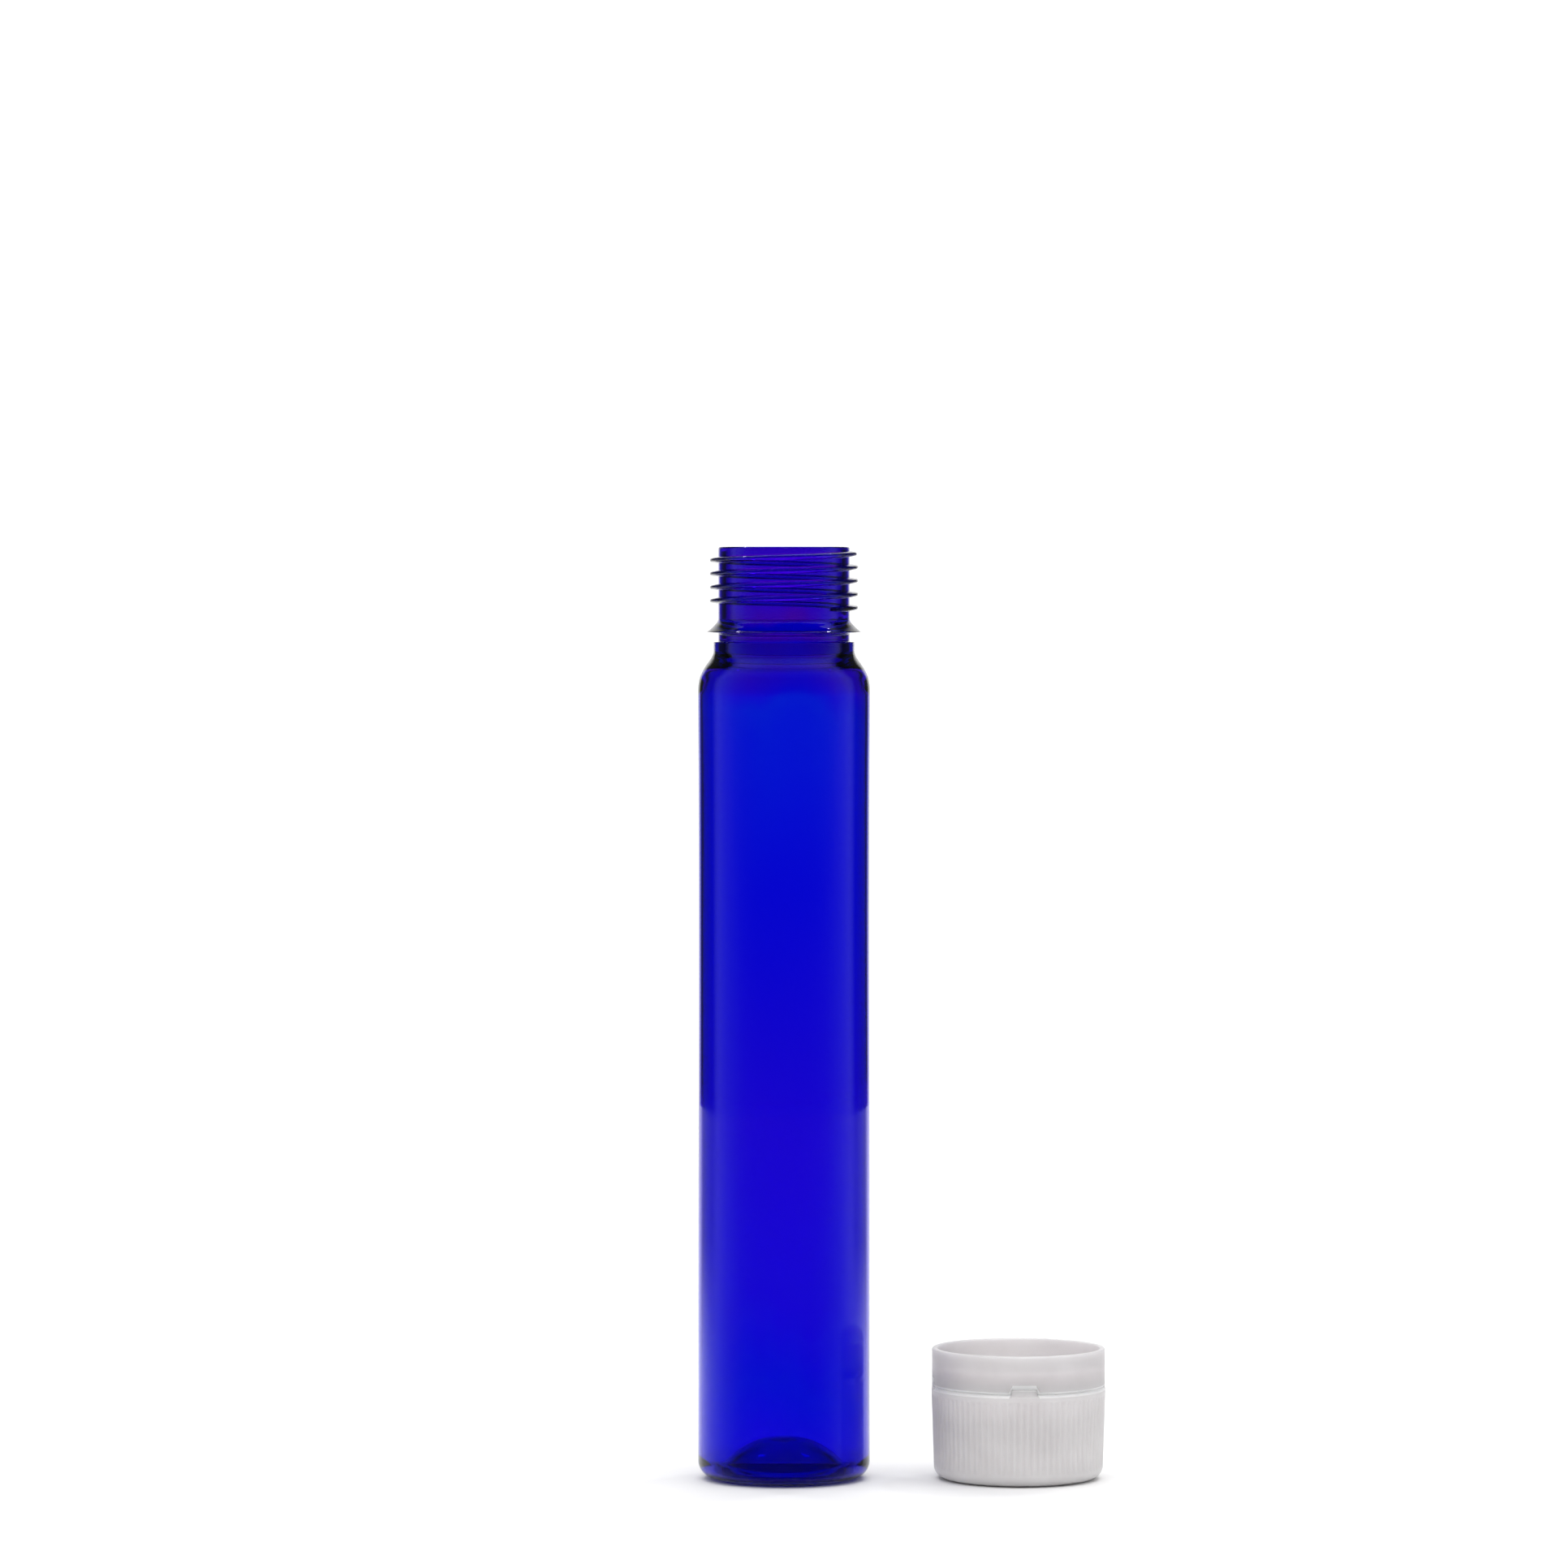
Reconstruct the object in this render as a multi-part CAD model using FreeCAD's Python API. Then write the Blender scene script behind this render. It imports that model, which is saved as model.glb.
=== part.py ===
import FreeCAD, Part
import math
import os

# Transparent screw-neck tube with a tamper-evident screw cap standing upside down beside it.
#
# Millimetres, +Z up. The origin is on the tube's axis at the plane that its base stands on. The cap stands
# on its closed end at X = CAP_X with its open end up, so heights in the cap are measured from the same
# plane. Closed, the cap is turned over onto the neck, and a height z of the cap then lies z - 2.5 below
# the lip of the neck.

V = FreeCAD.Vector

# ---- tube: overall ----
TUBE_HEIGHT = 173.0
BODY_R = 16.0
BODY_WALL = 0.8
BORE_R = 10.85            # bore of the neck
LIP_ROUND = 0.35          # rounding of the lip's two edges

# ---- tube: neck, as depths below the lip ----
CORE_R = 12.2             # outside of the neck between the threads
BEAD_TOP = 13.5           # where the tamper bead's cone starts
BEAD_TIP = 15.8
BEAD_UNDER = 16.15        # underside of the bead
BEAD_R = 14.3
STEP_TOP = 17.6           # short collar under the bead
STEP_END = 19.3
STEP_R = 13.07
SHOULDER = [(20.3, 13.38), (21.2, 13.95), (22.1, 14.60), (23.0, 15.12),
            (23.9, 15.55), (24.8, 15.79), (25.8, 15.94)]
SHOULDER_END = 26.8       # the full body radius is reached here

# ---- tube: base ----
CORNER_R = 3.2            # outer rounding between body and standing ring
RING_FLAT = 0.5           # width of the standing ring
DOME_FOOT = (11.6, 1.0)   # radius and height where the push-up leaves the standing ring
DOME_OUT = [(9.9, 2.1), (7.6, 4.1), (4.2, 6.0)]
DOME_APEX_OUT = 6.5
DOME_IN = [(11.8, 2.2), (10.1, 3.1), (7.8, 5.1), (4.3, 7.0)]
DOME_APEX_IN = 7.6

# ---- screw thread, shared by neck and cap ----
LEAD = 2.5                # right-handed
NECK_CREST_R = 13.78
NECK_RIDGE = (1.15, 0.55)  # width of the ridge at its root and at its crest
NECK_START_DEG = -75.0
NECK_TURNS = 4.22
NECK_Z_AT_0 = 161.72      # middle of the ridge on the +X side, lowest turn
CAP_CREST_R = 12.6
CAP_RIDGE = (1.1, 0.5)
CAP_TURNS = 3.4
CAP_START_Z = 6.28        # middle of the ridge on the cap's +X side; half a lead off the neck's ridge
ROOT_SINK = 0.35          # the ridges start this deep inside the wall that carries them
RUN_OUT_DEG = 35.0        # the ridges fade into the wall over this much of a turn

# ---- cap shell ----
CAP_X = 43.6
CAP_HEIGHT = 24.2
TOP_PLATE = 1.5
CAP_INNER_R = 14.1
CAP_FOOT_R = 15.72        # outside over the ribs, just above the rounded bottom edge
CAP_COLLAR_R = 16.19      # outside at the skirt's upper end
CAP_ROUND = 2.3           # rounding of the bottom edge
RIB_COUNT = 80
RIB_DEPTH = 0.3
RIB_FROM = 2.3
RIB_TO = 15.6
SKIRT_END = 16.75

# ---- tamper band ----
GAP = 0.6                 # open gap between skirt and band, crossed by the bridges
BAND_FROM = SKIRT_END + GAP
BAND_R = 16.08
BAND_INNER_R = 15.0
RIM_ROUND = 0.35
RING_FROM = 18.85         # inner retention ring, which catches under the neck's bead
RING_TO = 20.0
RING_R = 13.95

# ---- lugs of the skirt in notches of the band ----
LUG_COUNT = 4
LUG_AT_DEG = -88.0        # the first lug faces the front
LUG_WIDTH = 4.8
LUG_RISE = 1.3
NOTCH_PLAY = 0.35         # side play of a lug in its notch

# ---- bridges between skirt and band ----
BRIDGES_PER_SIDE = 3      # bridges between two lugs
BRIDGE_WIDTH = 0.7
BRIDGE_THICK = 0.5
BRIDGE_R = 15.45          # middle of a bridge

# ---- liner ----
LINER_R = 13.6
LINER_THICK = 0.98        # the lip of the neck stops 0.02 short of it


def depth(d):
    """Height of a point d below the lip of the neck."""
    return TUBE_HEIGHT - d


def point(r, z):
    return V(r, 0, z)


def line(a, b):
    return Part.makeLine(point(*a), point(*b))


def polyline(points):
    return [line(a, b) for a, b in zip(points, points[1:])]


def arc(start, centre, end):
    """Short arc about centre from start to end, all as (r, z)."""
    radius = math.dist(start, centre)
    mid = [(a + b) / 2 - c for a, b, c in zip(start, end, centre)]
    scale = radius / math.hypot(*mid)
    through = (centre[0] + mid[0] * scale, centre[1] + mid[1] * scale)
    return Part.Arc(point(*start), point(*through), point(*end)).toShape()


def smooth(points, start_dir, end_dir):
    """Smooth curve through points, leaving and arriving in the directions given as (r, z)."""
    curve = Part.BSplineCurve()
    curve.interpolate(Points=[point(*p) for p in points], InitialTangent=point(*start_dir),
                      FinalTangent=point(*end_dir))
    return curve.toShape()


def revolve(edges, x=0.0):
    """Solid of revolution of a closed profile about a vertical axis at x."""
    face = Part.Face(Part.Wire(Part.__sortEdges__(edges)))
    solid = face.revolve(V(0, 0, 0), V(0, 0, 1), 360)
    if solid.Volume < 0:
        solid.reverse()
    solid.translate(V(x, 0, 0))
    return solid


def ring_profile(points):
    return polyline(points + points[:1])


def ridge_section(wall_r, crest_r, widths):
    """Trapezium of a thread ridge about z = 0 at angle 0, from inside the wall out to the crest."""
    inward = -1 if crest_r < wall_r else 1
    root_r = wall_r - inward * ROOT_SINK
    root, crest = widths[0] / 2, widths[1] / 2
    spread = root + (root - crest) * ROOT_SINK / abs(crest_r - wall_r)
    corners = [(root_r, -spread), (crest_r, -crest), (crest_r, crest), (root_r, spread)]
    return Part.Wire(ring_profile(corners))


def swept_ridge(wall_r, crest_r, widths, turns):
    """Right-handed ridge that starts at angle 0 and height 0 and climbs one LEAD per turn."""
    helix = Part.makeHelix(LEAD, LEAD * turns, wall_r)
    sweep = Part.BRepOffsetAPI.MakePipeShell(Part.Wire(helix.Edges))
    sweep.setFrenetMode(True)
    sweep.add(ridge_section(wall_r, crest_r, widths), False, False)
    sweep.build()
    sweep.makeSolid()
    solid = sweep.shape()
    if solid.Volume < 0:
        solid.reverse()
    return solid


def run_out_cutter(z, angle, wall_r, crest_r, direction):
    """Wedge that slants a ridge's end down to the wall over RUN_OUT_DEG; direction is +1 at the
    ridge's start and -1 at its end."""
    turn = math.radians(RUN_OUT_DEG) * direction
    slope = LEAD * RUN_OUT_DEG / 360 * direction
    far = crest_r * (1.5 if crest_r > wall_r else 0.5)

    def at(r, a):
        return V(r * math.cos(a), r * math.sin(a), 0)

    tip = turn + math.radians(2) * direction
    shape = [at(wall_r, -turn * 0.2), at(crest_r, tip), at(far, tip), at(far, -turn * 0.6)]
    face = Part.Face(Part.Wire([Part.makeLine(a, b) for a, b in zip(shape, shape[1:] + shape[:1])]))
    wedge = face.extrude(V(0, 0, LEAD * 0.9))
    wedge.translate(V(0, 0, z + slope / 2 - LEAD * 0.45))
    wedge.rotate(V(0, 0, 0), V(0, 0, 1), angle)
    return wedge


def thread_ridge(z, start_deg, wall_r, crest_r, widths, turns, x=0.0):
    """Thread ridge with both ends slanted away, its start at start_deg and height z."""
    ridge = swept_ridge(wall_r, crest_r, widths, turns)
    ends = [run_out_cutter(0.0, 0.0, wall_r, crest_r, 1),
            run_out_cutter(LEAD * turns, turns * 360, wall_r, crest_r, -1)]
    ridge = ridge.cut(Part.makeCompound(ends))
    ridge.rotate(V(0, 0, 0), V(0, 0, 1), start_deg)
    ridge.translate(V(x, 0, z))
    return ridge


def tube_outside():
    """Outer profile edges, from the centre of the base up to the lip."""
    ring_out = BODY_R - CORNER_R
    ring_in = ring_out - RING_FLAT
    dome = [DOME_FOOT] + DOME_OUT + [(0.0, DOME_APEX_OUT)]
    shoulder = [(STEP_R, depth(STEP_END))] + [(r, depth(d)) for d, r in SHOULDER]
    shoulder.append((BODY_R, depth(SHOULDER_END)))
    bead = [(CORE_R, depth(BEAD_TOP)), ((CORE_R + BEAD_R) / 2 - 0.2, depth((BEAD_TOP + BEAD_TIP) / 2)),
            (BEAD_R, depth(BEAD_TIP))]
    edges = [smooth(dome[::-1], (1, 0), (1, -0.6))]
    edges += polyline([DOME_FOOT, (ring_in, 0.0), (ring_out, 0.0)])
    edges.append(arc((ring_out, 0.0), (ring_out, CORNER_R), (BODY_R, CORNER_R)))
    edges += polyline([(BODY_R, CORNER_R), (BODY_R, depth(SHOULDER_END))])
    edges.append(smooth(shoulder[::-1], (0, 1), (0, 1)))
    edges += polyline([(STEP_R, depth(STEP_END)), (STEP_R, depth(STEP_TOP)), (CORE_R, depth(STEP_TOP)),
                       (CORE_R, depth(BEAD_UNDER)), (BEAD_R, depth(BEAD_TIP))])
    edges.append(smooth(bead[::-1], (-0.8, 0.6), (-0.3, 1)))
    edges += polyline([(CORE_R, depth(BEAD_TOP)), (CORE_R, depth(LIP_ROUND))])
    edges.append(arc((CORE_R, depth(LIP_ROUND)), (CORE_R - LIP_ROUND, depth(LIP_ROUND)),
                     (CORE_R - LIP_ROUND, TUBE_HEIGHT)))
    return edges


def tube_inside():
    """Inner profile edges, from the lip down to the centre of the base."""
    inner_r = BODY_R - BODY_WALL
    floor = [(inner_r, CORNER_R + 1.2), (inner_r - 0.75, 1.9), (inner_r - 2.2, 1.2)]
    dome = [floor[-1]] + DOME_IN + [(0.0, DOME_APEX_IN)]
    shoulder = [(BORE_R, depth(STEP_END)), (BORE_R + 1.2, depth(21.4)), (BORE_R + 3.2, depth(23.6)),
                (inner_r, depth(SHOULDER_END + 0.8))]
    edges = polyline([(CORE_R - LIP_ROUND, TUBE_HEIGHT), (BORE_R + LIP_ROUND, TUBE_HEIGHT)])
    edges.append(arc((BORE_R + LIP_ROUND, TUBE_HEIGHT), (BORE_R + LIP_ROUND, depth(LIP_ROUND)),
                     (BORE_R, depth(LIP_ROUND))))
    edges += polyline([(BORE_R, depth(LIP_ROUND)), shoulder[0]])
    edges.append(smooth(shoulder, (0, -1), (0, -1)))
    edges += polyline([shoulder[-1], floor[0]])
    edges.append(smooth(floor, (0, -1), (-1, 0)))
    edges.append(smooth(dome, (-1, 0), (-1, 0)))
    edges += polyline([(0.0, DOME_APEX_IN), (0.0, DOME_APEX_OUT)])
    return edges


def tube():
    blank = revolve(tube_outside() + tube_inside())
    start_z = NECK_Z_AT_0 + LEAD * NECK_START_DEG / 360
    ridge = thread_ridge(start_z, NECK_START_DEG, CORE_R, NECK_CREST_R, NECK_RIDGE, NECK_TURNS)
    return blank.fuse(ridge)


def skirt_r(z):
    """Outside radius of the tapering skirt at height z."""
    return CAP_FOOT_R + (CAP_COLLAR_R - CAP_FOOT_R) * (z - RIB_FROM) / (SKIRT_END - RIB_FROM)


def rib_wire(z):
    """Ring of rib crests and grooves at height z."""
    crest = skirt_r(z) - 0.01
    step = math.pi / RIB_COUNT
    corners = []
    for i in range(2 * RIB_COUNT):
        r = crest - RIB_DEPTH * (i % 2)
        corners.append(V(CAP_X + r * math.cos(i * step), r * math.sin(i * step), z))
    return Part.makePolygon(corners + corners[:1])


def cap_outside():
    """Outer body of the shell: rounded foot, ribbed skirt and smooth collar, all solid."""
    foot_in = CAP_FOOT_R - CAP_ROUND
    foot = polyline([(0, RIB_FROM), (0, 0), (foot_in, 0)])
    foot.append(arc((foot_in, 0), (foot_in, CAP_ROUND), (CAP_FOOT_R, CAP_ROUND)))
    foot += polyline([(CAP_FOOT_R, CAP_ROUND), (0, RIB_FROM)])
    collar = [(0, RIB_TO), (skirt_r(RIB_TO), RIB_TO), (CAP_COLLAR_R, SKIRT_END), (0, SKIRT_END)]
    ribbed = Part.makeLoft([rib_wire(RIB_FROM), rib_wire(RIB_TO)], True, True)
    return revolve(foot, CAP_X).multiFuse([ribbed, revolve(ring_profile(collar), CAP_X)])


def sector(at_deg, width, inner_r, outer_r, low, high):
    """Block between two radii, as wide as given at the outer one, centred on the angle at_deg."""
    half = width / 2
    block = Part.makeBox(outer_r * 2, 2 * half, high - low, V(0, -half, low))
    ring = Part.makeCylinder(outer_r, high - low, V(0, 0, low))
    ring = ring.cut(Part.makeCylinder(inner_r, high - low, V(0, 0, low)))
    block = block.common(ring)
    block.rotate(V(0, 0, 0), V(0, 0, 1), at_deg)
    block.translate(V(CAP_X, 0, 0))
    return block


def lug_angles():
    return [LUG_AT_DEG + 360.0 * i / LUG_COUNT for i in range(LUG_COUNT)]


def cap_shell():
    hollow = Part.makeCylinder(CAP_INNER_R, SKIRT_END, V(CAP_X, 0, TOP_PLATE))
    shell = cap_outside().cut(hollow)
    ridge = thread_ridge(CAP_START_Z, 0.0, CAP_INNER_R, CAP_CREST_R, CAP_RIDGE, CAP_TURNS, CAP_X)
    lugs = [sector(a, LUG_WIDTH, BAND_INNER_R, CAP_COLLAR_R - 0.11, SKIRT_END - 0.3, SKIRT_END + LUG_RISE)
            for a in lug_angles()]
    return shell.multiFuse([ridge] + lugs)


def tamper_band():
    profile = [(BAND_INNER_R, BAND_FROM), (BAND_R, BAND_FROM), (BAND_R, CAP_HEIGHT - RIM_ROUND),
               (BAND_R - RIM_ROUND, CAP_HEIGHT), (BAND_INNER_R + RIM_ROUND, CAP_HEIGHT),
               (BAND_INNER_R, CAP_HEIGHT - RIM_ROUND), (BAND_INNER_R, RING_TO + 1.2),
               (RING_R, RING_TO), (RING_R, RING_FROM), (BAND_INNER_R, RING_FROM)]
    band = revolve(ring_profile(profile), CAP_X)
    top = SKIRT_END + LUG_RISE + GAP
    notches = [sector(a, LUG_WIDTH + 2 * NOTCH_PLAY, BAND_INNER_R - 0.5, BAND_R + 1, BAND_FROM - 1, top)
               for a in lug_angles()]
    return band.cut(Part.makeCompound(notches))


def bridge_angles():
    """Bridges spread evenly between each two lugs."""
    step = 360.0 / LUG_COUNT / (BRIDGES_PER_SIDE + 1)
    return [a + step * (i + 1) for a in lug_angles() for i in range(BRIDGES_PER_SIDE)]


def band_bridges():
    half = BRIDGE_THICK / 2
    return Part.makeCompound([sector(a, BRIDGE_WIDTH, BRIDGE_R - half, BRIDGE_R + half, SKIRT_END, BAND_FROM)
                              for a in bridge_angles()])


def sealing_liner():
    return Part.makeCylinder(LINER_R, LINER_THICK, V(CAP_X, 0, TOP_PLATE))


NODES = {"tube": tube, "cap_shell": cap_shell, "tamper_band": tamper_band,
         "band_bridges": band_bridges, "sealing_liner": sealing_liner}


def main():
    os.makedirs("parts", exist_ok=True)
    for name, make in NODES.items():
        shape = make()
        shape.exportStep(f"parts/{name}.step")
        box = shape.optimalBoundingBox(True)
        print(name, "valid", shape.isValid(), "solids", len(shape.Solids), "volume", round(shape.Volume, 1),
              "box", [round(v, 2) for v in (box.XMin, box.YMin, box.ZMin, box.XMax, box.YMax, box.ZMax)])


main()
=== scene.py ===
import math

import bmesh
import bpy
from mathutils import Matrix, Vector


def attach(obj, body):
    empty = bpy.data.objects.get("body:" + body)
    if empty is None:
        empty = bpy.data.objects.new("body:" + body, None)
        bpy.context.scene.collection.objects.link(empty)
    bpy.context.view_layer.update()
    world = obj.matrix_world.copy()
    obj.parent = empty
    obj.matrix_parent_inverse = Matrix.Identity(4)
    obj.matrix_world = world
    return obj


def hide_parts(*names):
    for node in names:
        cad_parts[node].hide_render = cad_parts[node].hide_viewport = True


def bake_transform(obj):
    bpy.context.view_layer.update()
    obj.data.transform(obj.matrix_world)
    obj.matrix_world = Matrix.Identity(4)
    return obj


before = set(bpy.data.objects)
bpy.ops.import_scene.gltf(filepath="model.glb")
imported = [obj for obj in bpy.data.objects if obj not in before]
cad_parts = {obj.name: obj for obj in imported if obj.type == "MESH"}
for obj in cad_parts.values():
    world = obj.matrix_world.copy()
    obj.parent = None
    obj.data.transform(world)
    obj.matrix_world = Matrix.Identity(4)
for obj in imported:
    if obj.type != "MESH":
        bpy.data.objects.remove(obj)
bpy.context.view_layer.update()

# A transparent blue screw-neck tube and its milky screw cap, which stands upside down beside it.
# Sizes below are in millimetres in the frame of the CAD model; meshes are stored in metres.
# Angles are in degrees, counted from +X towards +Y.
MM = 0.001

# ---- tube ----
HEIGHT = 173.0
BODY_R = 15.98
HEEL_R = 3.2                # rounding between the body and the standing ring
WALL = 0.8
BORE_R = 10.85
CORE_R = 12.2               # outside of the neck between the threads
STEP_R = 13.07              # short collar between the shoulder and the bead
STEP_FROM = 153.7
STEP_TO = 155.4
BEAD_R = 14.3
BEAD_UNDER = 156.85
BEAD_TIP = 157.22
BEAD_TOP = 159.55
BODY_TOP = 146.2            # the shoulder starts here
INNER_TOP = 145.4
INNER_FOOT = 4.4
DOME_APEX = 6.1             # lowest point of the moulding mark in the middle of the pushed-up base
DOME_INSIDE = 7.6
LIP_ROUND = 0.4
TUBE_SEGMENTS = 256
BODY_ROWS = 70              # rows of points up the straight body

# ---- unevenness of the blown body ----
BLOWN_FROM = 5.0
BLOWN_TO = BODY_TOP - 2
BLOWN_FADE = 12.0           # height over which it sets in at both ends
WAIST_DEPTH = 0.09
WAIST_AT = 100.0
WAIST_REACH = 38.0
OUTER_WAVE = 0.012
INNER_WAVE = 0.05

# ---- screw threads ----
THREAD_LEAD = 2.5
FADE_DEG = 35.0             # a ridge fades into its wall over this angle at each end
RIDGE_SINK = 0.3            # the ridge's root lies this deep in its wall
RIDGE_HIDDEN = 0.25         # a faded end lies this deep in its wall
RIDGE_NARROW = 0.55         # share of its width that a faded end keeps
STEPS_PER_TURN = 160

# ---- cap, which stands on its closed end ----
CAP_X = 43.6
CAP_HEIGHT = 24.2
TOP_PLATE = 1.5
CAP_ROUND = 2.3             # rounding of the bottom edge
CAP_INNER_R = 14.1
CAP_FOOT_R = 15.72
CAP_COLLAR_R = 16.19
SKIRT_END = 16.75
RIBS = 80
RIB_DEPTH = 0.18
RIB_FROM = 1.9
RIB_TO = 15.8
COLLAR_FROM = 15.95

# ---- tamper band ----
BAND_FROM = 17.35
BAND_R = 16.08
BAND_INNER_R = 15.0
SLIT_LOW = 17.02            # the slit narrows to this, between its two bevelled edges
SLIT_HIGH = 17.08
RETAINER_R = 13.95          # inner ring, which catches under the neck's bead
RETAINER_FROM = 18.85
RETAINER_TO = 20.0
LUG_ANGLES = [-88.0 + 90.0 * i for i in range(4)]
LUG_WIDTH = 4.8
LUG_TOP = SKIRT_END + 1.3
NOTCH_TOP = LUG_TOP + 0.12
NOTCH_WIDTH = LUG_WIDTH + 0.14
BRIDGES_PER_SIDE = 3        # bridges between two lugs
BRIDGE_STEP = 90.0 / (BRIDGES_PER_SIDE + 1)
BRIDGE_R = 15.45
BRIDGE_HALF = (0.35, 0.25)  # half width and half thickness of a bridge
BRIDGE_SIDES = 12

# ---- liner ----
LINER_R = 13.58
LINER_FROM = TOP_PLATE + 0.01
LINER_TOP = 2.48
PRINT_DEPTH = 0.08          # depth of the ring that the neck's lip has pressed into the foam

# ---- colours ----
# The tube's tint, by share of its height: cooler blue at the base and under the shoulder, violet in the
# middle and in the neck. The deeper blue around the bead is painted shade against the overhead light it
# refracts.
TUBE_TINTS_AND_SHADE = [(0.0, (0.155, 0.3, 0.86)), (0.10, (0.037, 0.42, 0.795)), (0.2, (0.123, 0.10, 0.795)),
              (0.37, (0.155, 0.02, 0.805)), (0.5, (0.093, 0.02, 0.81)), (0.63, (0.02, 0.10, 0.815)),
              (0.80, (0.008, 0.74, 0.815)), (0.83, (0.02, 0.95, 0.805)), (0.85, (0.17, 0.15, 0.79)),
              (0.88, (0.47, 0.15, 0.70)), (0.905, (0.62, 0.12, 0.62)), (0.93, (0.45, 0.15, 0.74))]
TUBE_DYE = (0.7, 0.0, 0.95, 1)
TUBE_DYE_DENSITY = 3000.0
TUBE_GLOSS_TINT = (0.05, 0.05, 0.15, 1)
SHELL_MILK = ((0.54, 0.52, 0.525), (0.60, 0.58, 0.585))
# The band is the same plastic as the shell; its darker milk is painted shade against the extra light it
# catches.
BAND_MILK_PAINTED_SHADE = ((0.465, 0.445, 0.452), (0.515, 0.495, 0.502))
# Colour of the painted light along the slit, where light comes through the thin plastic.
SLIT_PAINTED_LIGHT = (0.95, 0.93, 0.935, 1)
FOAM_COLOURS = ((0.70, 0.69, 0.67), (0.80, 0.79, 0.77))
FLOOR_NEAR = (0.95, 0.95, 0.95)
FLOOR_FAR = (0.33, 0.33, 0.33)

# ---- studio, in metres ----
WORLD_BACK = 1.2            # strengths of the surround
WORLD_FRONT = 0.95
WORLD_GAP = 0.06
WORLD_TOP = 2.0
FLOOR_R = 0.9
FLOOR_Z = -0.0002
FLOOR_FADE = (0.15, 0.5)    # distances at which its grey sets in and is full
LAMP_PLACES = {"left_softbox": (-0.42, 0.42, 0.98), "right_softbox": (0.42, 0.42, 0.98)}
LAMP_TARGET = (0.0, 0.0, 0.15)
LAMP_SIZE = 0.1
LAMP_WATTS = 1.2
CAMERA_PLACE = (0.0, -1.30, 0.172)
CAMERA_TARGET = (0.0, 0.0, 0.129)
CAMERA_LENS = 161.0


# ------------------------------------------------------------------ profiles
def arc(centre, radius, start_deg, end_deg, steps):
    """Points on an arc, as (r, z)."""
    points = []
    for i in range(steps + 1):
        a = math.radians(start_deg + (end_deg - start_deg) * i / steps)
        points.append((centre[0] + radius * math.cos(a), centre[1] + radius * math.sin(a)))
    return points


def spline(knots, start_dir, end_dir, steps):
    """Smooth curve through knots that leaves and arrives in the given directions."""
    pts = [Vector(k) for k in knots]
    tangents = []
    for i, p in enumerate(pts):
        if i == 0:
            t = Vector(start_dir).normalized() * (pts[1] - p).length
        elif i == len(pts) - 1:
            t = Vector(end_dir).normalized() * (p - pts[i - 1]).length
        else:
            t = (pts[i + 1] - pts[i - 1]) * 0.5
        tangents.append(t)
    out = []
    for i in range(len(pts) - 1):
        p0, p1, t0, t1 = pts[i], pts[i + 1], tangents[i], tangents[i + 1]
        for k in range(steps):
            s = k / steps
            h = (2 * s**3 - 3 * s**2 + 1, s**3 - 2 * s**2 + s, -2 * s**3 + 3 * s**2, s**3 - s**2)
            out.append(tuple(p0 * h[0] + t0 * h[1] + p1 * h[2] + t1 * h[3]))
    out.append(tuple(pts[-1]))
    return out


def rounded(corners, steps=4):
    """Polyline through (r, z, rounding) corners, each corner replaced by an arc of that radius."""
    out = []
    last = len(corners) - 1
    for i, (r, z, radius) in enumerate(corners):
        here = Vector((r, z))
        if radius <= 0 or i in (0, last):
            out.append((r, z))
            continue
        before = (Vector(corners[i - 1][:2]) - here).normalized()
        after = (Vector(corners[i + 1][:2]) - here).normalized()
        half = before.angle(after) / 2
        reach = radius / math.tan(half)
        centre = here + (before + after).normalized() * (radius / math.sin(half))
        a = here + before * reach - centre
        b = here + after * reach - centre
        turn = math.atan2(a.x * b.y - a.y * b.x, a.dot(b))
        for k in range(steps + 1):
            c = math.cos(turn * k / steps)
            s = math.sin(turn * k / steps)
            out.append((centre.x + a.x * c - a.y * s, centre.y + a.x * s + a.y * c))
    return out


def rows_between(start, end, count):
    """Points evenly spaced from start to end, without start."""
    run = end[0] - start[0]
    rise = end[1] - start[1]
    return [(start[0] + run * i / count, start[1] + rise * i / count) for i in range(1, count + 1)]


# ------------------------------------------------------------------ meshes
def new_object(name, bm):
    bmesh.ops.recalc_face_normals(bm, faces=bm.faces)
    mesh = bpy.data.meshes.new(name)
    bm.to_mesh(mesh)
    bm.free()
    obj = bpy.data.objects.new(name, mesh)
    bpy.context.scene.collection.objects.link(obj)
    return obj


def lathe(name, profile, segments, x=0.0, shape=None):
    """Closed surface of revolution of a profile in mm. A profile that starts and ends on the axis closes
    there; any other closes on itself. shape(r, z, angle) may change a point's radius."""
    bm = bmesh.new()
    rows = []
    for r, z in profile:
        if r < 1e-6:
            rows.append([bm.verts.new((x * MM, 0, z * MM))])
            continue
        row = []
        for i in range(segments):
            a = 2 * math.pi * i / segments
            q = shape(r, z, a) if shape else r
            row.append(bm.verts.new(((x + q * math.cos(a)) * MM, q * math.sin(a) * MM, z * MM)))
        rows.append(row)
    on_axis = len(rows[0]) == 1
    pairs = list(zip(rows, rows[1:])) + ([] if on_axis else [(rows[-1], rows[0])])
    for low, high in pairs:
        for i in range(segments):
            j = (i + 1) % segments
            if len(low) == 1:
                bm.faces.new((low[0], high[i], high[j]))
            elif len(high) == 1:
                bm.faces.new((low[i], low[j], high[0]))
            else:
                bm.faces.new((low[i], low[j], high[j], high[i]))
    return new_object(name, bm)


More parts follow.
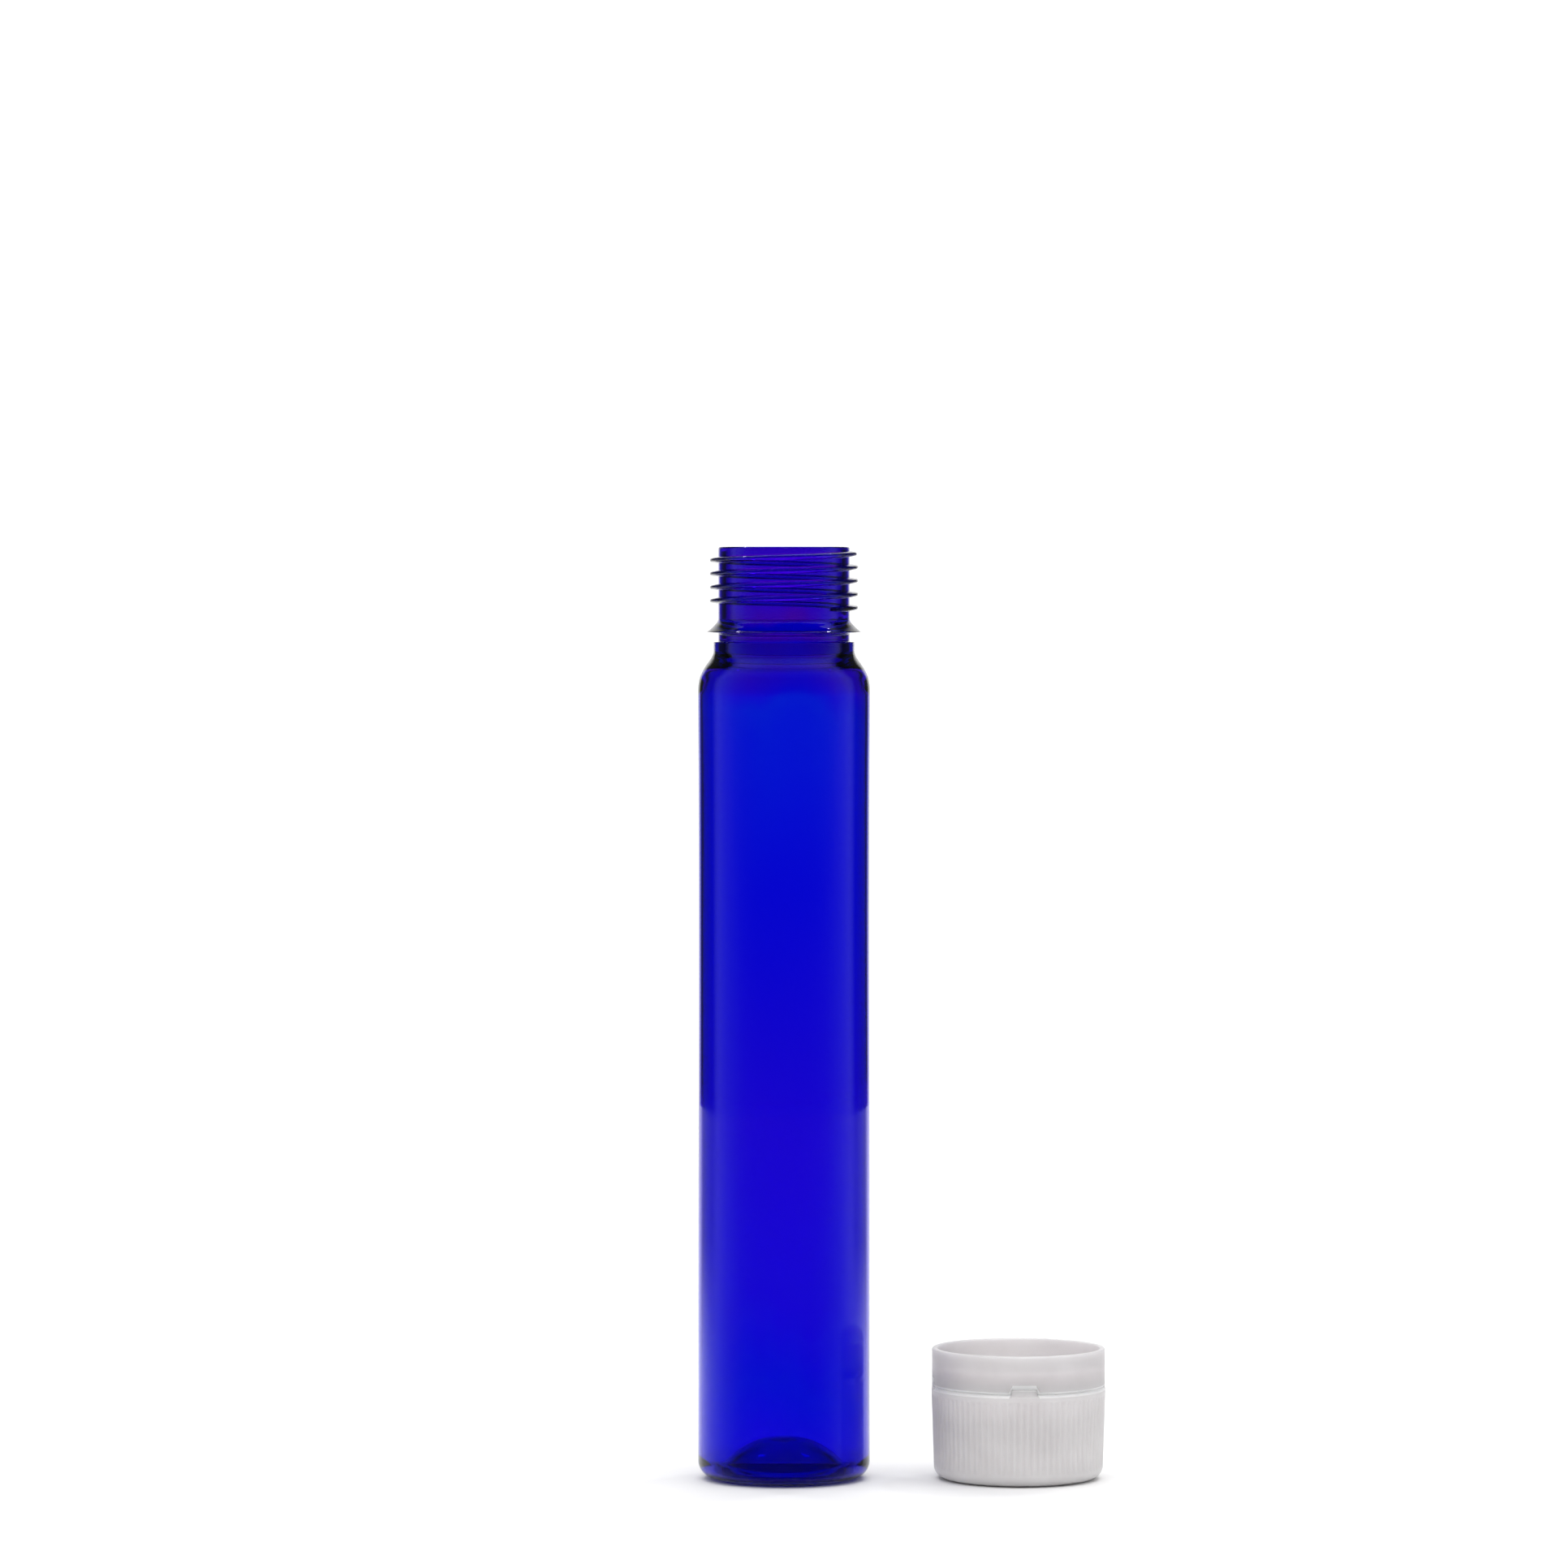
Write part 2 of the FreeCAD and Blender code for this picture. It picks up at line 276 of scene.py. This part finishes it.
def ridge(name, z0, start_deg, turns, wall_r, crest_r, root, crest, x=0.0):
    """Right-handed thread ridge with a rounded crest, which fades into its wall at both ends. root and
    crest are its widths there, and z0 is the height of its middle at its start."""
    out = 1 if crest_r > wall_r else -1
    # Lower half of the section: share of the ridge's height, or below 0 for its root, and the distance
    # from its middle.
    section = [(-RIDGE_SINK, -root / 2 - 0.03), (0.12, -root / 2 + 0.05), (0.5, -(root + crest) / 4 + 0.01),
               (0.86, -crest / 2), (0.96, -crest / 2 * 0.72), (1.0, -crest / 2 * 0.3)]
    section += [(h, -w) for h, w in reversed(section)]
    total = int(STEPS_PER_TURN * turns)
    height = abs(crest_r - wall_r)
    bm = bmesh.new()
    rows = []
    for i in range(total + 1):
        t = i / total
        a = math.radians(start_deg + 360 * turns * t)
        zc = z0 + THREAD_LEAD * turns * t
        grow = min(1.0, min(t, 1 - t) * turns * 360 / FADE_DEG)
        grow = grow * grow * (3 - 2 * grow)
        row = []
        for h, w in section:
            lift = -RIDGE_SINK if h < 0 else -RIDGE_HIDDEN + (h * height + RIDGE_HIDDEN) * grow
            r = wall_r + out * lift
            z = zc + w * (RIDGE_NARROW + (1 - RIDGE_NARROW) * grow)
            row.append(bm.verts.new(((x + r * math.cos(a)) * MM, r * math.sin(a) * MM, z * MM)))
        rows.append(row)
    n = len(section)
    for low, high in zip(rows, rows[1:]):
        for i in range(n):
            j = (i + 1) % n
            bm.faces.new((low[i], low[j], high[j], high[i]))
    bm.faces.new(rows[0])
    bm.faces.new(list(reversed(rows[-1])))
    return new_object(name, bm)


def combine(target, tools, operation):
    """Exact boolean of target with each tool, applied; the tools are removed."""
    for tool in tools:
        mod = target.modifiers.new("join", "BOOLEAN")
        mod.operation = operation
        mod.solver = "EXACT"
        mod.object = tool
    bpy.context.view_layer.update()
    graph = bpy.context.evaluated_depsgraph_get()
    mesh = bpy.data.meshes.new_from_object(target.evaluated_get(graph), depsgraph=graph)
    old = target.data
    target.modifiers.clear()
    target.data = mesh
    mesh.name = target.name
    bpy.data.meshes.remove(old)
    for tool in tools:
        bpy.data.objects.remove(tool)


def finish_mesh(obj, sharp_deg, material, weighted=True):
    """Smooth shading with crisp edges past sharp_deg, and the material."""
    mesh = obj.data
    mesh.shade_smooth()
    mesh.set_sharp_from_angle(angle=math.radians(sharp_deg))
    mesh.materials.clear()
    mesh.materials.append(material)
    if weighted:
        mod = obj.modifiers.new("normals", "WEIGHTED_NORMAL")
        mod.keep_sharp = True
        mod.weight = 50


def block(name, at_deg, width, inner_r, outer_r, low, high, rounding):
    """Curved block about the cap's axis between two radii, as wide as given at the outer one, with its
    corners rounded."""
    bm = bmesh.new()
    steps = 6
    half = width / 2 / outer_r
    angles = [math.radians(at_deg) + half * (2 * i / steps - 1) for i in range(steps + 1)]
    outline = [(outer_r, a) for a in angles] + [(inner_r, a) for a in reversed(angles)]
    layers = []
    for z in (low, high):
        places = [((CAP_X + r * math.cos(a)) * MM, r * math.sin(a) * MM, z * MM) for r, a in outline]
        layers.append([bm.verts.new(place) for place in places])
    bm.faces.new(layers[0][::-1])
    bm.faces.new(layers[1])
    for i in range(len(outline)):
        j = (i + 1) % len(outline)
        bm.faces.new((layers[0][i], layers[0][j], layers[1][j], layers[1][i]))
    bmesh.ops.recalc_face_normals(bm, faces=bm.faces)
    crisp = [e for e in bm.edges if len(e.link_faces) == 2 and e.calc_face_angle() > math.radians(40)]
    bmesh.ops.bevel(bm, geom=crisp, offset=rounding * MM, segments=3, profile=0.5, affect="EDGES")
    return new_object(name, bm)


# ------------------------------------------------------------------ materials
class Shader:
    """Small helper that builds a node material."""

    def __init__(self, name):
        self.material = bpy.data.materials.new(name)
        self.material.use_nodes = True
        self.tree = self.material.node_tree
        self.main = self.tree.nodes["Principled BSDF"]
        self.output = self.tree.nodes["Material Output"]
        self.place = self.node("ShaderNodeTexCoord").outputs["Object"]

    def node(self, kind, **settings):
        made = self.tree.nodes.new(kind)
        for key, value in settings.items():
            setattr(made, key, value)
        return made

    def link(self, a, b):
        self.tree.links.new(a, b)

    def stretched(self, scale):
        mapping = self.node("ShaderNodeMapping")
        mapping.inputs["Scale"].default_value = scale
        self.link(self.place, mapping.inputs["Vector"])
        return mapping.outputs["Vector"]

    def noise(self, scale, detail=4.0, stretch=(1, 1, 1)):
        made = self.node("ShaderNodeTexNoise")
        made.inputs["Scale"].default_value = scale
        made.inputs["Detail"].default_value = detail
        self.link(self.stretched(stretch), made.inputs["Vector"])
        return made.outputs["Fac"]

    def spread(self, value, low, high, from_low=0.3, from_high=0.7):
        """A value taken evenly from one span to another, and held at its ends."""
        made = self.node("ShaderNodeMapRange")
        made.inputs["From Min"].default_value = from_low
        made.inputs["From Max"].default_value = from_high
        made.inputs["To Min"].default_value = low
        made.inputs["To Max"].default_value = high
        self.link(value, made.inputs["Value"])
        return made.outputs["Result"]

    def ramp(self, value, stops):
        made = self.node("ShaderNodeValToRGB")
        ramp = made.color_ramp
        while len(ramp.elements) < len(stops):
            ramp.elements.new(0.5)
        for element, (at, colour) in zip(ramp.elements, stops):
            element.position = at
            element.color = (*colour, 1)
        self.link(value, made.inputs["Fac"])
        return made.outputs["Color"]

    def height(self):
        split = self.node("ShaderNodeSeparateXYZ")
        self.link(self.place, split.inputs["Vector"])
        return split.outputs["Z"]

    def math(self, operation, *values):
        made = self.node("ShaderNodeMath", operation=operation)
        for socket, value in zip(made.inputs, values):
            if isinstance(value, (int, float)):
                socket.default_value = value
            else:
                self.link(value, socket)
        return made.outputs["Value"]

    def around_cap(self, count, first_deg):
        """Wave around the cap's axis that is 1 at the first angle and at count equal steps from it."""
        split = self.node("ShaderNodeSeparateXYZ")
        self.link(self.place, split.inputs["Vector"])
        across = self.math("SUBTRACT", split.outputs["X"], CAP_X * MM)
        angle = self.math("ARCTAN2", split.outputs["Y"], across)
        phase = self.math("MULTIPLY_ADD", angle, count, -math.radians(first_deg) * count)
        return self.math("COSINE", phase)

    def bump(self, value, strength, distance, under=None):
        made = self.node("ShaderNodeBump")
        made.inputs["Strength"].default_value = strength
        made.inputs["Distance"].default_value = distance
        self.link(value, made.inputs["Height"])
        if under is not None:
            self.link(under, made.inputs["Normal"])
        return made.outputs["Normal"]

    def set(self, **values):
        """Sets sockets of the main shader; an underscore stands for a space in a socket's name."""
        for key, value in values.items():
            self.main.inputs[key.replace("_", " ")].default_value = value


def tube_material():
    s = Shader("blue_clear_polyester")
    s.set(Transmission_Weight=1.0, IOR=1.55, Specular_Tint=TUBE_GLOSS_TINT)
    # The flow of the blown wall shifts the tint up and down a little.
    flow = s.spread(s.noise(70.0, detail=3.0, stretch=(1, 1, 0.25)), -0.03, 0.03)
    level = s.math("ADD", s.math("DIVIDE", s.height(), HEIGHT * MM), flow)
    s.link(s.ramp(level, TUBE_TINTS_AND_SHADE), s.main.inputs["Base Color"])
    s.link(s.spread(s.noise(260.0, detail=5.0), 0.015, 0.05), s.main.inputs["Roughness"])
    waves = s.bump(s.noise(45.0, detail=2.0, stretch=(1, 1, 0.3)), 0.05, 0.0007)
    fine = s.bump(s.noise(900.0, detail=2.0, stretch=(1, 1, 0.08)), 0.02, 0.0002, under=waves)
    s.link(fine, s.main.inputs["Normal"])
    dye = s.node("ShaderNodeVolumeAbsorption")
    dye.inputs["Color"].default_value = TUBE_DYE
    dye.inputs["Density"].default_value = TUBE_DYE_DENSITY
    s.link(dye.outputs["Volume"], s.output.inputs["Volume"])
    return s.material


def cap_material(name, milk):
    """Milky plastic, clouded between the two colours of milk."""
    s = Shader(name)
    s.set(Subsurface_Weight=1.0, Subsurface_Scale=0.008, Subsurface_Radius=(1.0, 0.95, 0.95))
    s.set(IOR=1.49, Specular_IOR_Level=0.4)
    cloud = s.ramp(s.noise(120.0, detail=5.0), [(0.3, milk[0]), (0.7, milk[1])])
    # Painted light along the slit, where light comes through the thin plastic; the slit steps up over each
    # lug.
    wave = s.around_cap(len(LUG_ANGLES), LUG_ANGLES[0])
    lug = s.spread(wave, 0.0, LUG_TOP - SKIRT_END, from_low=0.76, from_high=0.86)
    off_slit = s.math("MULTIPLY_ADD", s.height(), 1 / MM, -(SLIT_LOW + SLIT_HIGH) / 2)
    off_slit = s.math("ABSOLUTE", s.math("SUBTRACT", off_slit, lug))
    mix = s.node("ShaderNodeMix", data_type="RGBA")
    factor, colour_a, colour_b = mix.inputs[0], mix.inputs[6], mix.inputs[7]
    s.link(s.spread(off_slit, 1.0, 0.0, from_low=0.38, from_high=0.6), factor)
    s.link(cloud, colour_a)
    colour_b.default_value = SLIT_PAINTED_LIGHT
    s.link(mix.outputs[2], s.main.inputs["Base Color"])
    s.link(s.spread(s.noise(400.0, detail=4.0), 0.34, 0.46), s.main.inputs["Roughness"])
    soft = s.bump(s.noise(160.0, detail=2.0), 0.03, 0.0006)
    grain = s.bump(s.noise(3200.0, detail=3.0), 0.04, 0.00006, under=soft)
    s.link(grain, s.main.inputs["Normal"])
    return s.material


def foam_material():
    s = Shader("liner_foam")
    cells = s.node("ShaderNodeTexVoronoi")
    cells.inputs["Scale"].default_value = 2600.0
    s.link(s.place, cells.inputs["Vector"])
    colour = s.ramp(cells.outputs["Distance"], [(0.1, FOAM_COLOURS[0]), (0.8, FOAM_COLOURS[1])])
    s.link(colour, s.main.inputs["Base Color"])
    s.link(s.spread(s.noise(700.0), 0.55, 0.75), s.main.inputs["Roughness"])
    s.link(s.bump(cells.outputs["Distance"], 0.25, 0.0001), s.main.inputs["Normal"])
    return s.material


def eased(tree, value, span, results):
    """A value taken smoothly from one span to another, and held at its ends."""
    made = tree.nodes.new("ShaderNodeMapRange")
    made.interpolation_type = "SMOOTHSTEP"
    for socket, number in zip(("From Min", "From Max", "To Min", "To Max"), (*span, *results)):
        made.inputs[socket].default_value = number
    tree.links.new(value, made.inputs["Value"])
    return made.outputs["Result"]


def facing_back(tree, vector):
    """Cosine of the level angle between a direction, or a place, and the +Y axis."""
    level = tree.nodes.new("ShaderNodeVectorMath")
    level.operation = "MULTIPLY"
    level.inputs[1].default_value = (1, 1, 0)
    tree.links.new(vector, level.inputs[0])
    unit = tree.nodes.new("ShaderNodeVectorMath")
    unit.operation = "NORMALIZE"
    tree.links.new(level.outputs["Vector"], unit.inputs[0])
    split = tree.nodes.new("ShaderNodeSeparateXYZ")
    tree.links.new(unit.outputs["Vector"], split.inputs["Vector"])
    return split.outputs["Y"]


def floor_material():
    """Pale sheet that falls off to grey far from the object in the directions of the surround's gaps."""
    s = Shader("pale_floor")
    length = s.node("ShaderNodeVectorMath", operation="LENGTH")
    s.link(s.place, length.inputs[0])
    away = eased(s.tree, length.outputs["Value"], FLOOR_FADE, (0.0, 1.0))
    back = facing_back(s.tree, s.place)
    off_back = eased(s.tree, back, (0.74, 0.91), (1.0, 0.0))
    off_side = eased(s.tree, back, (0.1, 0.4), (0.0, 1.0))
    gap = s.math("MULTIPLY", off_back, off_side)
    paper = s.math("MULTIPLY_ADD", s.noise(3.0), 0.03, s.math("MULTIPLY", away, gap))
    s.link(s.ramp(paper, [(0.0, FLOOR_NEAR), (1.0, FLOOR_FAR)]), s.main.inputs["Base Color"])
    s.set(Roughness=0.7, Specular_IOR_Level=0.2)
    return s.material


# ------------------------------------------------------------------ pieces
def tube_outside():
    """Outer profile of the tube, from the middle of the base's underside up to the lip and down the bore."""
    ring_out = BODY_R - HEEL_R
    profile = [(0.0, DOME_APEX), (0.9, DOME_APEX), (1.25, 6.45)]
    profile += spline([(1.5, 6.47), (4.2, 6.0), (7.6, 4.1), (9.9, 2.1), (11.6, 1.0)], (1, 0), (1, -0.6), 5)
    profile += rounded([(11.6, 1.0, 0), (12.3, 0.0, 0.25), (ring_out, 0.0, 0)])[1:]
    profile += arc((ring_out, HEEL_R), HEEL_R, -90, 0, 14)[1:]
    profile += rows_between((BODY_R, HEEL_R), (BODY_R, BODY_TOP), BODY_ROWS)
    shoulder = [(BODY_R, BODY_TOP), (15.94, 147.2), (15.79, 148.2), (15.55, 149.1), (15.12, 150.0),
                (14.60, 150.9), (13.95, 151.8), (13.38, 152.7), (STEP_R, STEP_FROM)]
    profile += spline(shoulder, (0, 1), (0, 1), 4)[1:]
    neck = [(STEP_R, STEP_FROM, 0), (STEP_R, STEP_TO, 0.18), (CORE_R, STEP_TO, 0.2),
            (CORE_R, BEAD_UNDER, 0.2), (BEAD_R - 0.05, BEAD_TIP - 0.04, 0)]
    profile += rounded(neck)[1:]
    bead = [(BEAD_R - 0.06, BEAD_TIP + 0.08), (13.05, 158.35), (CORE_R, BEAD_TOP)]
    profile += [(BEAD_R, BEAD_TIP), bead[0]]
    profile += spline(bead, (-0.8, 0.6), (-0.2, 1), 6)[1:]
    lip = [(CORE_R, BEAD_TOP, 0), (CORE_R, HEIGHT, LIP_ROUND), (BORE_R, HEIGHT, LIP_ROUND),
           (BORE_R, STEP_FROM, 0)]
    return profile + rounded(lip, 5)[1:]


def tube_inside():
    """Inner profile of the tube, from the foot of the bore down to the middle of the base."""
    inner_r = BODY_R - WALL
    shoulder = [(BORE_R, STEP_FROM), (BORE_R + 1.2, 151.6), (BORE_R + 3.2, 149.4), (inner_r, INNER_TOP)]
    heel = [(inner_r, INNER_FOOT), (inner_r - 0.75, 1.9), (inner_r - 2.2, 1.2)]
    dome = [heel[-1], (12.2, 2.1), (10.8, 3.1), (8.5, 5.1), (4.7, 7.0), (0.0, DOME_INSIDE)]
    profile = spline(shoulder, (0, -1), (0, -1), 8)[1:]
    profile += rows_between(shoulder[-1], heel[0], BODY_ROWS)
    profile += spline(heel, (0, -1), (-1, 0), 5)[1:]
    profile += spline(dome, (-1, 0), (-1, 0), 5)[1:]
    return profile


def blown_wall(r, z, angle):
    """Slight waist and unevenness of the blown body; the neck is moulded true."""
    if not BLOWN_FROM < z < BLOWN_TO:
        return r
    fade = min(1.0, (z - BLOWN_FROM) / BLOWN_FADE, (BLOWN_TO - z) / BLOWN_FADE)
    waist = WAIST_DEPTH * math.exp(-((z - WAIST_AT) / WAIST_REACH) ** 2)
    if r < BODY_R - WALL / 2:
        uneven = INNER_WAVE * math.sin(angle - 0.6 + z * 0.02)
        uneven += INNER_WAVE * 0.6 * math.sin(2 * angle + z * 0.07 + 2.0)
    else:
        uneven = math.sin(2 * angle + z * 0.045) + 0.6 * math.sin(3 * angle - z * 0.08 + 1.0)
        uneven = OUTER_WAVE * uneven - 0.02
    return r - fade * (waist - uneven)


def make_tube(material):
    tube = lathe("tube_wall", tube_outside() + tube_inside(), TUBE_SEGMENTS, shape=blown_wall)
    thread = ridge("neck_ridge", z0=161.34, start_deg=-55.0, turns=4.21, wall_r=CORE_R, crest_r=13.78,
                   root=1.28, crest=0.68)
    combine(tube, [thread], "UNION")
    finish_mesh(tube, 38, material)
    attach(tube, "tube")
    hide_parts("tube")


def skirt_r(z):
    """Outside radius of the tapering skirt at height z."""
    return CAP_FOOT_R + (CAP_COLLAR_R - CAP_FOOT_R) * (z - CAP_ROUND) / (SKIRT_END - CAP_ROUND)


def ribbed(r, z, angle):
    """Grip ribs on the outside of the skirt, fading out at both of their ends."""
    if r < CAP_INNER_R + 0.7 or not RIB_FROM < z < RIB_TO:
        return r
    fade = min(1.0, (z - RIB_FROM) / 0.9, (RIB_TO - z) / 0.5)
    wave = 0.5 - 0.5 * math.cos(RIBS * angle)
    return r - RIB_DEPTH * fade * wave**0.7


def cap_profile():
    """Closed profile of the shell, from the moulding mark on its closed end round to its inner side."""
    foot_in = CAP_FOOT_R - CAP_ROUND
    profile = [(0.0, 0.25), (1.4, 0.25), (1.7, 0.04), (2.0, 0.0)]
    profile += rows_between((2.0, 0.0), (foot_in, 0.0), 4)
    profile += arc((foot_in, CAP_ROUND), CAP_ROUND, -90, 0, 10)[1:]
    heights = (2.6, 3.0, 3.4, 4.5, 6, 8, 10, 12, 14, 14.8, 15.2, 15.4, 15.6, RIB_TO, COLLAR_FROM)
    profile += [(skirt_r(z), z) for z in heights]
    collar = [(skirt_r(COLLAR_FROM), COLLAR_FROM, 0), (CAP_COLLAR_R - 0.01, SLIT_LOW - 0.38, 0.12),
              (15.8, SLIT_LOW, 0.08), (14.8, SLIT_LOW, 0.1), (CAP_INNER_R, SKIRT_END - 0.7, 0.2),
              (CAP_INNER_R, TOP_PLATE, 0.5), (0.0, TOP_PLATE, 0)]
    return profile + rounded(collar)[1:]


def make_cap(material):
    cap = lathe("cap_shell_moulding", cap_profile(), RIBS * 8, x=CAP_X, shape=ribbed)
    tools = [ridge("cap_ridge", z0=6.28, start_deg=0.0, turns=3.4, wall_r=CAP_INNER_R, crest_r=12.62,
                   root=1.1, crest=0.5, x=CAP_X)]
    for i, angle in enumerate(LUG_ANGLES):
        tools.append(block(f"lug_{i}", angle, LUG_WIDTH, inner_r=BAND_INNER_R, outer_r=CAP_COLLAR_R - 0.11,
                           low=SKIRT_END - 0.4, high=LUG_TOP, rounding=0.2))
    combine(cap, tools, "UNION")
    finish_mesh(cap, 42, material)
    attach(cap, "cap_turn")
    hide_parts("cap_shell")


def make_band(material):
    start = (BAND_INNER_R, 22.5, 0)
    corners = [start, (BAND_INNER_R, 21.3, 0.5), (RETAINER_R, RETAINER_TO, 0.25),
               (RETAINER_R, RETAINER_FROM, 0.2), (BAND_INNER_R, RETAINER_FROM, 0.2),
               (BAND_INNER_R, SLIT_HIGH, 0.2), (15.75, SLIT_HIGH, 0.08), (BAND_R, SLIT_HIGH + 0.3, 0.12),
               (BAND_R, CAP_HEIGHT, 0.35), (BAND_INNER_R, CAP_HEIGHT, 0.35), start]
    band = lathe("tamper_band_ring", rounded(corners)[:-1], TUBE_SEGMENTS, x=CAP_X)
    tool_r = BAND_R + 1
    tool_width = NOTCH_WIDTH * tool_r / BAND_R
    tools = []
    for i, angle in enumerate(LUG_ANGLES):
        tools.append(block(f"notch_{i}", angle, tool_width, inner_r=BAND_INNER_R - 0.5, outer_r=tool_r,
                           low=BAND_FROM - 1, high=NOTCH_TOP, rounding=0.25))
    combine(band, tools, "DIFFERENCE")
    finish_mesh(band, 42, material)
    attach(band, "band_release")
    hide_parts("tamper_band")


def add_bridge(bm, angle):
    """One bridge, thinnest in its middle and with its ends sunk in the skirt and the band."""
    levels = [(SKIRT_END - 0.04, 1.25), (SKIRT_END + 0.1, 1.0), ((SKIRT_END + BAND_FROM) / 2, 0.62),
              (BAND_FROM - 0.1, 0.9), (BAND_FROM + 0.04, 1.1)]
    out = Vector((math.cos(angle), math.sin(angle), 0))
    side = Vector((-math.sin(angle), math.cos(angle), 0))
    rows = []
    for z, wide in levels:
        middle = Vector((CAP_X, 0, z)) + out * BRIDGE_R
        row = []
        for i in range(BRIDGE_SIDES):
            t = 2 * math.pi * i / BRIDGE_SIDES
            across = side * (BRIDGE_HALF[0] * wide * math.cos(t))
            through = out * (BRIDGE_HALF[1] * wide * math.sin(t))
            row.append(bm.verts.new((middle + across + through) * MM))
        rows.append(row)
    for low, high in zip(rows, rows[1:]):
        for i in range(BRIDGE_SIDES):
            j = (i + 1) % BRIDGE_SIDES
            bm.faces.new((low[i], low[j], high[j], high[i]))
    bm.faces.new(rows[0][::-1])
    bm.faces.new(rows[-1])


def make_bridges(material):
    bm = bmesh.new()
    for lug in LUG_ANGLES:
        for k in range(BRIDGES_PER_SIDE):
            add_bridge(bm, math.radians(lug + BRIDGE_STEP * (k + 1)))
    bridges = new_object("band_bridge_set", bm)
    finish_mesh(bridges, 50, material, weighted=False)
    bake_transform(bridges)
    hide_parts("band_bridges")


def make_liner(material):
    print_z = LINER_TOP - PRINT_DEPTH
    corners = [(0.0, LINER_FROM, 0), (LINER_R, LINER_FROM, 0.15), (LINER_R, LINER_TOP, 0.3),
               (12.4, LINER_TOP, 0.3), (11.9, print_z, 0.1), (11.1, print_z, 0.1),
               (10.6, LINER_TOP, 0.3), (0.0, LINER_TOP, 0)]
    liner = lathe("sealing_liner_disc", rounded(corners), 128, x=CAP_X)
    finish_mesh(liner, 50, material)
    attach(liner, "cap_travel")
    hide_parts("sealing_liner")


# ------------------------------------------------------------------ stage
def make_floor():
    bm = bmesh.new()
    bmesh.ops.create_circle(bm, cap_ends=True, radius=FLOOR_R, segments=128)
    floor = new_object("floor", bm)
    floor.location.z = FLOOR_Z
    floor.data.materials.append(floor_material())


def make_world():
    """White surround, with a dark gap at each side of its back. The gaps end a little below the horizon and
    towards the zenith."""
    world = bpy.data.worlds.new("soft_studio")
    bpy.context.scene.world = world
    world.use_nodes = True
    tree = world.node_tree
    place = tree.nodes.new("ShaderNodeTexCoord").outputs["Generated"]
    split = tree.nodes.new("ShaderNodeSeparateXYZ")
    tree.links.new(place, split.inputs["Vector"])
    back = facing_back(tree, place)
    around = tree.nodes.new("ShaderNodeMath")
    tree.links.new(eased(tree, back, (0.86, 0.96), (WORLD_GAP, WORLD_BACK)), around.inputs[0])
    tree.links.new(eased(tree, back, (0.1, 0.4), (WORLD_FRONT - WORLD_GAP, 0.0)), around.inputs[1])
    below = eased(tree, split.outputs["Z"], (-0.095, -0.08), (WORLD_BACK, 0.0))
    sides = tree.nodes.new("ShaderNodeMath")
    sides.operation = "MAXIMUM"
    tree.links.new(around.outputs["Value"], sides.inputs[0])
    tree.links.new(below, sides.inputs[1])
    above = eased(tree, split.outputs["Z"], (0.65, 0.95), (0.0, 1.0))
    mix = tree.nodes.new("ShaderNodeMix")
    tree.links.new(above, mix.inputs["Factor"])
    tree.links.new(sides.outputs["Value"], mix.inputs["A"])
    mix.inputs["B"].default_value = WORLD_TOP
    tree.links.new(mix.outputs["Result"], tree.nodes["Background"].inputs["Strength"])
    tree.nodes["Background"].inputs["Color"].default_value = (1, 1, 1, 1)


def aimed(name, data, place, target):
    """Links an object that stands at place and looks at target."""
    obj = bpy.data.objects.new(name, data)
    obj.location = place
    obj.rotation_euler = (Vector(target) - Vector(place)).to_track_quat("-Z", "Y").to_euler()
    bpy.context.scene.collection.objects.link(obj)
    return obj


def make_light(name, place):
    lamp = bpy.data.lights.new(name, "AREA")
    lamp.shape = "DISK"
    lamp.size = LAMP_SIZE
    lamp.energy = LAMP_WATTS
    aimed(name, lamp, place, LAMP_TARGET)


def make_camera():
    data = bpy.data.cameras.new("camera")
    data.lens = CAMERA_LENS
    data.sensor_width = 36.0
    data.clip_start = 0.05
    data.clip_end = 20.0
    bpy.context.scene.camera = aimed("camera", data, CAMERA_PLACE, CAMERA_TARGET)


def main():
    make_camera()
    make_world()
    make_floor()
    for name, place in LAMP_PLACES.items():
        make_light(name, place)
    bpy.context.scene.view_settings.view_transform = "Standard"
    milky = cap_material("milky_polypropylene", SHELL_MILK)
    # The band's material is a darker copy of the shell's plastic: painted shade.
    milky_band_painted_shade = cap_material("milky_band_painted_shade", BAND_MILK_PAINTED_SHADE)
    make_tube(tube_material())
    make_cap(milky)
    make_band(milky_band_painted_shade)
    make_bridges(milky)
    make_liner(foam_material())


main()
